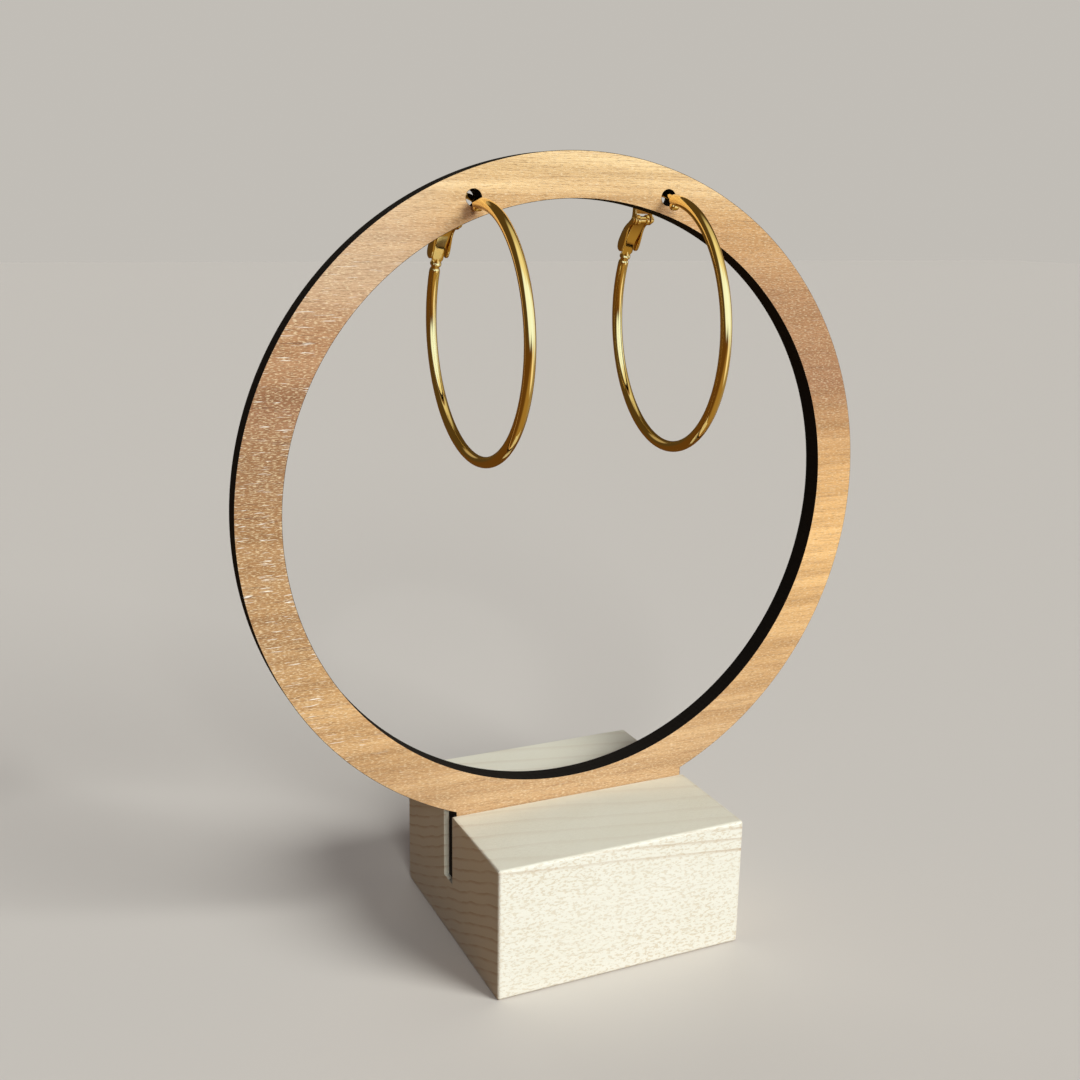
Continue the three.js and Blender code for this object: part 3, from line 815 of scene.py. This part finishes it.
def closed_curve(points, per_span=8):
    """A smooth closed curve through the points.

    Between two points with knots t1 and t2 it is three rounds of straight blending, as
    (far - t) / (far - near) of one end plus (t - near) / (far - near) of the other.
    """
    p = [np.roll(points, 1 - k, 0)[:, None] for k in range(4)]
    apart = [np.linalg.norm(p[k + 1] - p[k], axis=2, keepdims=True) for k in range(3)]
    gap = [np.sqrt(distance) for distance in apart]
    knot = [0 * gap[0], gap[0], gap[0] + gap[1], gap[0] + gap[1] + gap[2]]
    t = knot[1] + gap[1] * np.linspace(0, 1, per_span, endpoint=False)[None, :, None]

    def blend(a, b, near, far):
        return (far - t) / (far - near) * a + (t - near) / (far - near) * b

    first = [blend(p[k], p[k + 1], knot[k], knot[k + 1]) for k in range(3)]
    second = [blend(first[k], first[k + 1], knot[k], knot[k + 2]) for k in range(2)]
    return blend(*second, knot[1], knot[2]).reshape(-1, 2)


def across_plate(outline, x_low, x_high, ease):
    """A plate in the hoop's plane between two values of x."""
    (points, quads, triangles), _ = rounded_plate([outline], [ease], x_high - x_low, steps=3)
    return np.stack([points[:, 2] + x_low, points[:, 0], points[:, 1]], 1), quads, triangles


WALL, LEVER_WIDTH, WALL_EASE = 0.3, 2.8, 0.07

wall_outline = closed_curve(WALL_POINTS)[::-1]
for side in PLACES:
    lever = f"{side}_lever"
    near, far = -LEVER_WIDTH / 2, LEVER_WIDTH / 2
    for where, low in (("left", near), ("right", far - WALL)):
        wall = across_plate(wall_outline, low, low + WALL, WALL_EASE)
        keep_flats_flat(gold_piece(side, f"lever_wall_{where}", wall, lever, "lever"))

# %% [markdown]
# The back is a strip that bends with the walls and narrows to a rounded foot. Its top is
# forked, so that the lever can swing past the ear post: two prongs go on beside the slot,
# and a lip stands above each. A saddle plate joins the walls in front, under the post.

# %% Lever back and lips
BACK_POINTS = np.array(
    [
        (11.25, 14.22), (12.5, 13.6), (13.2, 13.02), (13.95, 12.32),
        (14.5, 11.75), (14.9, 11.2), (15.03, 10.86),
    ]
)  # fmt: skip
FORK_HALF, INNER_HALF, PRONG_LENGTH = 0.62, 1.25, 1.4
BACK_START, BACK_END, BACK_HALF, TIP_HALF, TIP_LENGTH = 0.85, 5.4, 0.15, 0.07, 0.12
SADDLE_EASE, LIP_EASE = 0.05, 0.08
# Pairs of the distance along the back and its half width, as two lists.
BACK_WIDTHS = ([0.85, 3.55, 3.85, 4.6, 5.3], [INNER_HALF, INNER_HALF, 0.75, 0.72, 0.32])
LIP_OUTLINE = np.array([(9.3, 16.2), (9.66, 16.2), (9.66, 16.6), (9.3, 16.7)])
SADDLE_OUTLINE = np.array([(8.95, 15.62), (9.13, 15.62), (9.2, 16.5), (9.02, 16.5)])


def back_strip(start, end, middle, half_width):
    """Part of the back between two distances along it, centred at x = middle.

    Its outer side is a quarter turn from the path's direction, and it thins towards its ends.
    """
    steps = np.linalg.norm(np.diff(BACK_POINTS, axis=0), axis=1)
    marks = np.concatenate([[0], np.cumsum(steps)])
    s = np.linspace(0, marks[-1], 140)
    y, z = (softened(np.interp(s, marks, BACK_POINTS[:, k]), 30) for k in range(2))
    path = np.stack([np.full_like(s, middle), y, z], 1)
    aim = np.gradient(path, axis=0)
    aim /= np.linalg.norm(aim, axis=1, keepdims=True)
    outer = np.stack([0 * s, -aim[:, 2], aim[:, 1]], 1)
    keep = (s >= start) & (s <= end)
    s = s[keep]
    places = [s[0], s[0] + TIP_LENGTH, s[-1] - TIP_LENGTH, s[-1]]
    thickness = np.interp(s, places, [TIP_HALF, BACK_HALF, BACK_HALF, TIP_HALF])
    width = softened(np.interp(s, *half_width), 2)
    return strip(path[keep], outer[keep], width, thickness)


back = back_strip(BACK_START, BACK_END, 0.0, BACK_WIDTHS)
prong_middle, prong_half = (INNER_HALF + FORK_HALF) / 2, (INNER_HALF - FORK_HALF) / 2
prong_widths = ([0, PRONG_LENGTH], [prong_half, prong_half])
prongs = [back_strip(0, PRONG_LENGTH, x, prong_widths) for x in (-prong_middle, prong_middle)]
lip_ends = ((-INNER_HALF, -FORK_HALF), (FORK_HALF, INNER_HALF))
for side in PLACES:
    lever = f"{side}_lever"
    gold_piece(side, "lever_back", back, lever, "lever")
    saddle = across_plate(SADDLE_OUTLINE, -INNER_HALF, INNER_HALF, SADDLE_EASE)
    keep_flats_flat(gold_piece(side, "lever_saddle", saddle, lever, "lever"))
    for where, prong, (low, high) in zip(("left", "right"), prongs, lip_ends):
        gold_piece(side, f"lever_prong_{where}", prong, lever, "lever")
        lip = across_plate(LIP_OUTLINE, low, high, LIP_EASE)
        keep_flats_flat(gold_piece(side, f"lever_lip_{where}", lip, lever, "lever"))

# %% [markdown]
# ## Floor and light
#
# Soft sunlight from the right of the camera makes the block's long side bright, its top a
# little less, and leaves its left end in warm shade. A weaker sun from the front reaches
# into the open end of the slot, and a low fill keeps the back from going dark. Polished
# metal shows what stands round it, so it needs both dark and bright things to mirror. Those
# can't be lamps and boards, which would light the wood too. They are drawn into the world
# by their direction, for mirror-like rays only. Towards the camera, floor and world are
# plain, pale and nearly equal, so hardly a horizon shows.

# %% Floor
FLOOR_HALF = 2.5
FLOOR_SEEN, FLOOR_TO_OTHERS = (0.66, 0.62, 0.57), (0.30, 0.18, 0.085)

corners = [(FLOOR_HALF * i, FLOOR_HALF * j, 0) for i, j in ((-1, -1), (1, -1), (1, 1), (-1, 1))]
floor_mesh = bpy.data.meshes.new("floor")
floor_mesh.from_pydata(corners, [], [(0, 1, 2, 3)])
floor = bpy.data.objects.new("floor", floor_mesh)
bpy.context.scene.collection.objects.link(floor)
floor_finish = Finish("pale_floor", {"Roughness": 0.9, "Specular IOR Level": 0.0})
seen = floor_finish.node("ShaderNodeLightPath", output="Is Camera Ray")
floor_finish.use(base_color=floor_finish.mix(seen, FLOOR_TO_OTHERS, FLOOR_SEEN))
floor_mesh.materials.append(floor_finish.material)
floor.visible_glossy = False
print(f"floor: {2 * FLOOR_HALF} m square")

# %% Light
def unit(azimuth, elevation):
    """The unit direction of two angles in degrees, the azimuth rising from +x towards +y."""
    a, e = math.radians(azimuth), math.radians(elevation)
    return (math.cos(e) * math.cos(a), math.cos(e) * math.sin(a), math.sin(e))


def soft_sun(name, azimuth, elevation, width, strength):
    """A sun in a direction given in degrees, as wide as a patch of bright sky."""
    data = bpy.data.lights.new(name, "SUN")
    data.energy, data.angle, data.color = strength, math.radians(width), (0.97, 1.0, 0.99)
    light = bpy.data.objects.new(name, data)
    towards_light = Vector(unit(azimuth, elevation))
    light.rotation_euler = towards_light.to_track_quat("Z", "Y").to_euler()
    light.visible_glossy = False
    bpy.context.scene.collection.objects.link(light)
    print(f"{name}: {strength} from {azimuth} degrees, {elevation} degrees up")


soft_sun("main_sun", -54, 33, 30, 3.3)
soft_sun("front_sun", -100, 24, 16, 1.15)
soft_sun("back_fill", 80, 13, 50, 1.0)

# %% World
# Each patch: azimuth, elevation, the angles where it is full and where it ends, and colour.
MIRRORED_PATCHES = [
    (-60, -55, 25, 55, (0.34, 0.22, 0.07)),
    (-5, -8, 22, 50, (0.34, 0.28, 0.18)),
    (-60, 74, 10, 30, (0.62, 0.61, 0.44)),
    (-55, 50, 32, 54, (0.64, 0.61, 0.45)),
    (-88, 44, 26, 44, (0.90, 0.90, 0.74)),
    (-112, 24, 22, 36, (0.97, 1.22, 1.65)),
    (-62, 17, 20, 34, (0.97, 1.27, 1.80)),
    (-22, 7, 10, 26, (0.90, 1.08, 1.40)),
    (-52, -22, 8, 24, (0.98, 0.92, 0.80)),
    (102, 30, 7, 16, (0.45, 0.38, 0.26)),
]
DARK_ABOVE, AMBER_BELOW = (0.085, 0.055, 0.02), (0.12, 0.055, 0.012)
BACKDROP, SOFT_LIGHT = (0.535, 0.51, 0.47), (0.062, 0.046, 0.052)

world = bpy.data.worlds.new("surroundings")
bpy.context.scene.world = world
world.use_nodes = True
sky = Network(world.node_tree)
towards = sky.node("ShaderNodeTexCoord", output="Generated")


def facing(azimuth, elevation, near, far):
    """1 within `near` degrees of a direction and 0 beyond `far` degrees of it.

    The cosine of the angle between two unit directions is their dot product.
    """
    sockets = {0: towards, 1: unit(azimuth, elevation)}
    cosine = sky.node("ShaderNodeVectorMath", {"operation": "DOT_PRODUCT"}, sockets, "Value")
    return cosine.rising(math.cos(math.radians(far)), math.cos(math.radians(near)))


mirrored = sky.mix(facing(0, -90, 75, 95), DARK_ABOVE, AMBER_BELOW)
for *patch, colour in MIRRORED_PATCHES:
    mirrored = sky.mix(facing(*patch), mirrored, colour)
camera_ray = sky.node("ShaderNodeLightPath", output="Is Camera Ray")
glossy_ray = sky.node("ShaderNodeLightPath", output="Is Glossy Ray")
light = sky.mix(glossy_ray, SOFT_LIGHT, mirrored)
colour = sky.mix(camera_ray, light, BACKDROP)
sky.plug(sky.nodes["Background"].inputs["Color"], colour)
bpy.context.scene.view_settings.view_transform = "Standard"
print(f"world: {len(MIRRORED_PATCHES)} patches for mirror-like rays")
